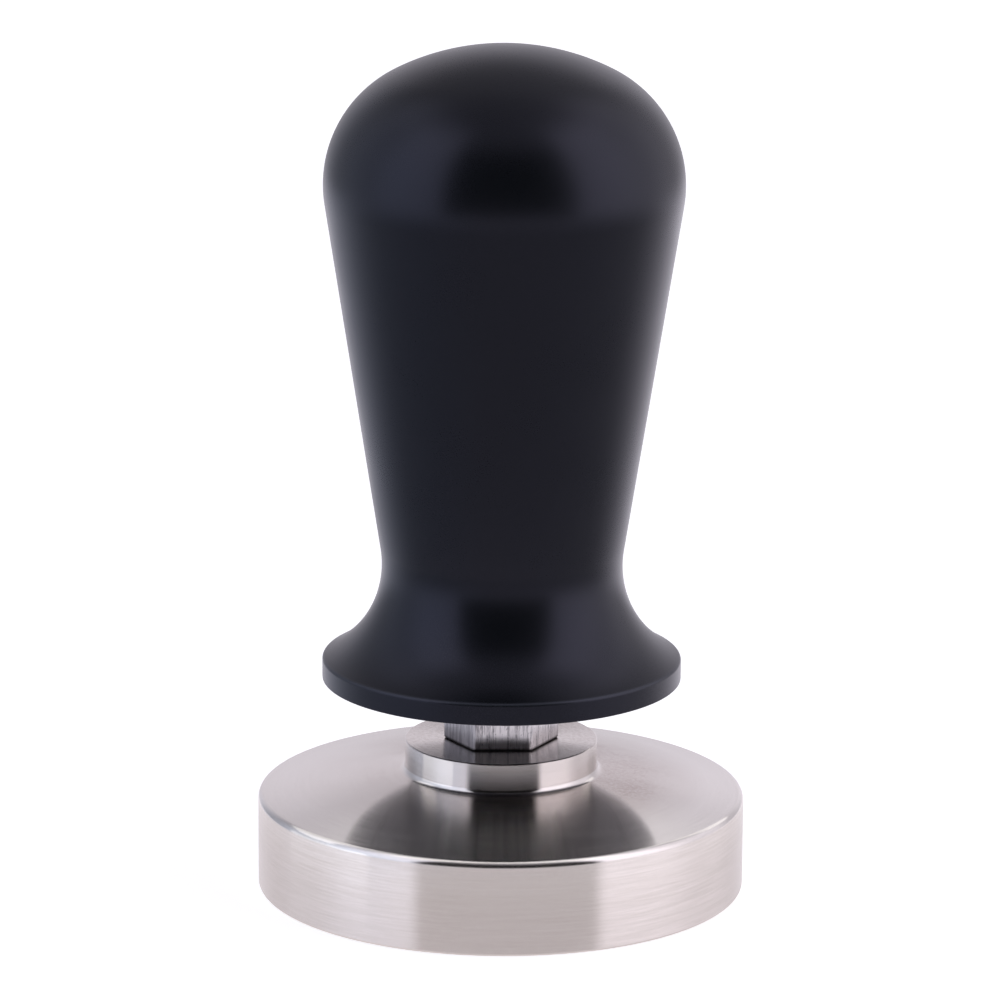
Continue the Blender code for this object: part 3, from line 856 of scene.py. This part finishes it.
def make_lock_washer():
    """A split spring washer: a rounded section carried almost once round, with leaning ends."""
    outer, bottom, top = box_mm("lock_washer")
    section = ring_outline(LOCK_BORE, outer, bottom, top, 0.18)
    middle = (bottom + top) / 2
    half_slit = math.degrees(LOCK_SLIT / (LOCK_BORE + outer))
    steps = 96
    rings = []
    for step in range(steps + 1):
        share = step / steps
        ring = []
        for radius, height in section:
            lean = math.degrees(math.tan(math.radians(LOCK_LEAN)) * (height - middle) / radius)
            angle = math.radians(half_slit + (360 - 2 * half_slit) * share - lean)
            ring.append((radius * math.cos(angle), radius * math.sin(angle), height))
        rings.append(ring)
    return shade(loft("lock_washer_split", capped(rings)), 40.0)


def coil_height(turn, height):
    """Height of the wire's centre after a number of turns: closed at both ends, open between."""
    open_pitch = (height - 2 * CLOSED_PITCH) / (COIL_TURNS - 2)
    if turn < 1:
        return CLOSED_PITCH * turn
    if turn > COIL_TURNS - 1:
        return height - CLOSED_PITCH * (COIL_TURNS - turn)
    return CLOSED_PITCH + open_pitch * (turn - 1)


def make_pressure_spring():
    """Round wire wound on a helix, with the first and last turns ground flat."""
    wire = WIRE_RADIUS
    bottom = SPRING_BOTTOM + wire * (1 - GROUND_OFF)
    height = SPRING_TOP - SPRING_BOTTOM - 2 * wire * (1 - GROUND_OFF)
    steps = 56
    sides = 20
    rings = []
    for index in range(int(COIL_TURNS * steps) + 1):
        turn = index / steps
        angle = 2 * math.pi * turn
        centre = bottom + coil_height(turn, height)
        ring = []
        for side in range(sides):
            round_wire = 2 * math.pi * side / sides
            radius = COIL_RADIUS + wire * math.cos(round_wire)
            level = centre + wire * math.sin(round_wire)
            level = min(max(level, SPRING_BOTTOM), SPRING_TOP)
            ring.append((radius * math.cos(angle), radius * math.sin(angle), level))
        rings.append(ring)
    spring = shade(loft("pressure_spring_wire", capped(rings)), 50.0)
    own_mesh(spring)
    return spring


def screw_places():
    places = []
    for number in range(3):
        angle = math.radians(90 + 120 * number)
        places.append((PLUG_SCREW_CIRCLE * math.cos(angle), PLUG_SCREW_CIRCLE * math.sin(angle)))
    return places


def make_guide_plug():
    """The flanged plug: its hexagonal bore is wider at both mouths, and its screws are countersunk."""
    flange_top = UNDERSIDE + PLUG_FLANGE
    spigot = CHAMBER_RADIUS - CLEARANCE
    steps = TURN_STEPS
    reach = PLUG_HEX_FLATS / math.sqrt(3)
    corners = [
        (reach, UNDERSIDE, 0),
        (PLUG_RADIUS, UNDERSIDE, 0.25),
        (PLUG_RADIUS, flange_top, 0.2),
        (spigot, flange_top, 0.15),
        (spigot, PLUG_TOP, 0.5),
        (reach, PLUG_TOP, 0),
    ]
    mouth_flats = PLUG_HEX_FLATS + 0.4
    bore = [
        (PLUG_HEX_FLATS, PLUG_TOP - 0.2),
        (PLUG_HEX_FLATS, UNDERSIDE + 0.2),
        (mouth_flats, UNDERSIDE),
    ]
    rings = hexagons(bore, steps)
    rings += circles(softened(corners)[1:-1], steps)
    rings += hexagons([(mouth_flats, PLUG_TOP)], steps)
    plug = loft("guide_plug_turned", rings, closed=True)
    neck = PLUG_SCREW_RADIUS + CLEARANCE
    mouth = PLUG_SCREW_HEAD_RADIUS + PLUG_SCREW_RIM + CLEARANCE
    above = flange_top + 1
    below = UNDERSIDE - 1
    sink = [
        (0, above),
        (neck, above),
        (neck, UNDERSIDE + mouth - neck),
        (mouth, UNDERSIDE),
        (mouth, below),
        (0, below),
    ]
    for number, (x, y) in enumerate(screw_places(), 1):
        combine(plug, moved(turned(f"sink_{number}", sink, 64), x, y))
    return shade(plug)


def make_guide_bush():
    """A hexagonal sleeve with a round rim at its top."""
    rim_bottom = BUSH_TOP - BUSH_RIM
    steps = TURN_STEPS
    mouth_flats = BUSH_BORE_FLATS + 0.5
    sleeve = [
        (BUSH_BORE_FLATS, BUSH_TOP - 0.25),
        (BUSH_BORE_FLATS, BUSH_BOTTOM + 0.25),
        (mouth_flats, BUSH_BOTTOM),
        (BUSH_HEX_FLATS - 0.4, BUSH_BOTTOM),
        (BUSH_HEX_FLATS, BUSH_BOTTOM + 0.2),
        (BUSH_HEX_FLATS, rim_bottom),
    ]
    rim = [
        (BUSH_RIM_RADIUS - 0.15, rim_bottom),
        (BUSH_RIM_RADIUS, rim_bottom + 0.15),
        (BUSH_RIM_RADIUS, BUSH_TOP - 0.15),
        (BUSH_RIM_RADIUS - 0.15, BUSH_TOP),
    ]
    rings = hexagons(sleeve, steps) + circles(rim, steps) + hexagons([(mouth_flats, BUSH_TOP)], steps)
    return shade(loft("guide_bush_hexagonal", rings, closed=True))


def make_return_cushion():
    """A soft washer whose sides belly out a little."""
    outer, bottom, top = box_mm("return_cushion")
    middle = (top + bottom) / 2
    outer_flat = outer - 0.65
    inner_flat = CUSHION_INNER + 0.45
    outline = [(inner_flat, top), (outer_flat, top)]
    outline += arc((outer - 1.0, middle), 1.0, 70, -70, 12)
    outline += [(outer_flat, bottom), (inner_flat, bottom)]
    outline += arc((CUSHION_INNER + 0.9, middle), 0.9, 250, 110, 12)
    return shade(turned("return_cushion_washer", outline, RING_STEPS, closed=True), 50.0)


PIECES = [
    (make_base_plate, "base_plate"),
    (make_base_stud, "base_stud"),
    (make_hex_stem, "hex_stem"),
    (make_stop_washer, "stop_washer"),
    (make_lock_washer, "lock_washer"),
    (make_stop_screw, "stop_screw"),
    (make_pressure_spring, "pressure_spring"),
    (make_handle_shell, "handle_shell"),
    (make_guide_plug, "guide_plug"),
    (make_guide_bush, "guide_bush"),
    (make_return_cushion, "return_cushion"),
    (lambda: make_ring("spring_seat", SEAT_BORE, 0.2), "spring_seat"),
    (lambda: make_ring("calibration_shim", SEAT_BORE, 0.08), "calibration_shim"),
    (lambda: make_plug_screw("plug_screw_1"), "plug_screw_1"),
    (lambda: make_plug_screw("plug_screw_2"), "plug_screw_2"),
    (lambda: make_plug_screw("plug_screw_3"), "plug_screw_3"),
]


def make_pieces():
    finishes = {
        "turned_steel": turned_steel(),
        "drawn_steel": drawn_steel(),
        "black_anodised": black_anodised(),
        "plated_steel": plated_steel(),
        "spring_steel": spring_steel(),
        "black_fastener": black_oxide(),
        "polymer": acetal(),
        "rubber": rubber(),
    }
    slots = {row["node"]: row["material_slot"] for row in frame["record"]["subparts"]}
    groups = frame["record"]["behaviour"]["bodies"]
    bodies = {node: body for body, nodes in groups.items() for node in nodes}
    pieces = {}
    for make, node in PIECES:
        pieces[node] = place(make(), node, bodies[node], finishes[slots[node]])
    return pieces


# ---------------------------------------------------------------- studio

def disc(name, radius, material):
    """A flat disc on the ground, which isn't part of the object."""
    ring = round_ring(radius, 0.0, DISC_STEPS)
    obj = new_object(name, ring, [tuple(range(DISC_STEPS))])
    obj.data.materials.append(material)
    return obj


def floor_paint(name, light, dark, roughness, glow):
    """Pale paint with a glow that goes from one strength to another across the stand's outer part."""
    nodes = Nodes(name)
    place_mm, _, _, _, radius = nodes.position()
    soft = nodes.noise(place_mm, 0.05, 2.0, 0.5)
    strength = nodes.span(radius, GLOW_FROM, STAND_RADIUS, *glow)
    nodes.shader.inputs["Emission Color"].default_value = (*WHITE, 1.0)
    nodes.link(strength, nodes.shader.inputs["Emission Strength"])
    return nodes.finish(nodes.colours(soft, dark, light), roughness)


def make_floor():
    """A wide pale floor, and the small glossy stand that only reflections see."""
    paint = floor_paint("pale_floor", (0.90, 0.90, 0.90), (0.88, 0.88, 0.88), 0.9, (0.62, 0.62))
    floor = disc("floor", FLOOR_RADIUS, paint)
    floor.visible_glossy = False
    acrylic = floor_paint("white_acrylic", (0.63, 0.585, 0.59), (0.62, 0.575, 0.58), 0.08, (0.09, 0.34))
    stand = disc("stand", STAND_RADIUS, acrylic)
    stand.visible_camera = False
    stand.visible_diffuse = False
    stand.visible_shadow = False
    stand.visible_transmission = False


class Sky(Nodes):
    """The world's nodes: radiance as a function of the direction looked in, in degrees."""

    def __init__(self, world):
        world.use_nodes = True
        self.tree = world.node_tree
        self.shader = self.tree.nodes["Background"]
        direction = self.add("ShaderNodeTexCoord").outputs["Generated"]
        parts = self.add("ShaderNodeSeparateXYZ")
        self.link(direction, parts.inputs[0])
        self.x, y, z = parts.outputs
        azimuth = self.maths("DEGREES", self.maths("ARCTAN2", self.x, self.product(y, -1.0)))
        self.away = self.maths("ABSOLUTE", self.maths("SUBTRACT", azimuth, GAP_CENTRE))
        self.up = self.maths("DEGREES", self.maths("ARCSINE", z))

    def step(self, value, start, end):
        """Rises smoothly from 0 to 1 between two values, or falls where start is the greater."""
        node = self.add("ShaderNodeMapRange", interpolation_type="SMOOTHSTEP")
        self.link(value, node.inputs["Value"])
        rising = end > start
        node.inputs["From Min"].default_value = start if rising else end
        node.inputs["From Max"].default_value = end if rising else start
        node.inputs["To Min"].default_value = 0.0 if rising else 1.0
        node.inputs["To Max"].default_value = 1.0 if rising else 0.0
        return node.outputs["Result"]

    def lean(self, amount):
        """A factor that grows towards the right (+X) and shrinks towards the left."""
        return self.total(self.product(self.x, amount), 1.0)

    def unless_seen(self, kind, value, plain):
        """A value that camera rays see as a plain one."""
        node = self.add("ShaderNodeMix", data_type=kind)
        self.link(self.add("ShaderNodeLightPath").outputs["Is Camera Ray"], node.inputs["Factor"])
        self.link(value, node.inputs["A"])
        node.inputs["B"].default_value = plain
        return node.outputs["Result"]


def studio_radiance(sky):
    """Soft boxes either side of a dark gap at the front, a wall behind, a dim top and a pale ground."""
    beside = sky.step(sky.away, GAP_HALF_ANGLE - 4.0, GAP_HALF_ANGLE + 4.0)
    inside = sky.step(sky.away, GAP_HALF_ANGLE + 4.0, GAP_HALF_ANGLE - 4.0)
    facing = sky.step(sky.away, 105.0, 75.0)
    flank = sky.step(sky.away, 155.0, 115.0)
    behind = sky.step(sky.away, 125.0, 160.0)
    rear = sky.step(sky.away, 90.0, 155.0)
    low_edge = sky.product(0.92, sky.step(sky.up, -20.0, -4.0))
    foot = sky.total(low_edge, sky.product(0.08, sky.step(sky.up, 0.0, 25.0)))
    box_top = sky.step(sky.up, 74.0, 44.0)
    wall_top = sky.step(sky.up, 64.0, 8.0)
    overhead = sky.step(sky.up, 38.0, 62.0)
    ground = sky.step(sky.up, -5.0, -14.0)
    apron = sky.product(sky.step(sky.up, -24.0, -16.0), sky.step(sky.up, -6.0, -11.0))
    to_right = sky.lean(0.32)
    rather_right = sky.lean(0.25)
    return sky.total(
        sky.product(0.477, beside, facing, foot, box_top),
        sky.product(0.79, beside, flank, foot, box_top, rather_right),
        sky.product(0.86, behind, foot, wall_top, to_right),
        sky.product(0.33, overhead, to_right),
        sky.product(0.75, ground, rear, to_right),
        sky.product(0.32, ground),
        sky.product(0.35, inside, apron),
    )


def make_world():
    """The studio as the object's surfaces reflect it, and plain white where the camera looks."""
    world = bpy.data.worlds.new("studio")
    bpy.context.scene.world = world
    sky = Sky(world)
    strength = sky.unless_seen("FLOAT", studio_radiance(sky), 1.0)
    sky.link(strength, sky.shader.inputs["Strength"])
    tint = sky.colours(sky.span(sky.x, -0.95, -0.25), (0.89, 0.96, 1.17), (0.99, 0.948, 1.045))
    colour = sky.unless_seen("RGBA", tint, (*WHITE, 1.0))
    sky.link(colour, sky.shader.inputs["Color"])


def lamp(name, place_m, size_m, radiance, lit):
    """A rectangular soft lamp aimed at the collar that lights only the pieces given."""
    data = bpy.data.lights.new(name, "AREA")
    data.shape = "RECTANGLE"
    data.size, data.size_y = size_m
    data.energy = radiance * math.pi * size_m[0] * size_m[1]
    obj = bpy.data.objects.new(name, data)
    bpy.context.scene.collection.objects.link(obj)
    obj.location = place_m
    aim = Vector((0.0, 0.0, COLLAR_TOP * MM)) - Vector(place_m)
    obj.rotation_euler = aim.to_track_quat("-Z", "Y").to_euler()
    obj.light_linking.receiver_collection = lit
    obj.visible_camera = False


def make_lamps(pieces):
    """Lamps for the bright steel alone: overhead, high behind, and small and low on the left."""
    steel = bpy.data.collections.new("steel_lit")
    for node in ("base_plate", "hex_stem"):
        steel.objects.link(pieces[node])
    lamp("overhead", (0.0, -0.05, 1.0), (1.2, 0.45), 0.9, steel)
    lamp("rear_fill", (-0.3, 0.85, 0.98), (4.0, 0.56), 0.6, steel)
    lamp("low_left", (-0.105, -0.02, 0.004), (0.09, 0.05), 0.45, steel)


def make_camera():
    data = bpy.data.cameras.new("camera")
    data.sensor_width = 36.0
    data.lens = CAMERA_LENS
    data.clip_start = 0.01
    data.clip_end = 20.0
    camera = bpy.data.objects.new("camera", data)
    bpy.context.scene.collection.objects.link(camera)
    look = Vector(CAMERA_TARGET) - Vector(CAMERA_AT)
    turn = look.to_track_quat("-Z", "Y").to_euler()
    turn.rotate_axis("Z", math.radians(CAMERA_ROLL))
    camera.location = CAMERA_AT
    camera.rotation_euler = turn
    bpy.context.scene.camera = camera


pieces = make_pieces()
make_floor()
make_world()
make_lamps(pieces)
make_camera()
bpy.context.scene.view_settings.view_transform = "Standard"
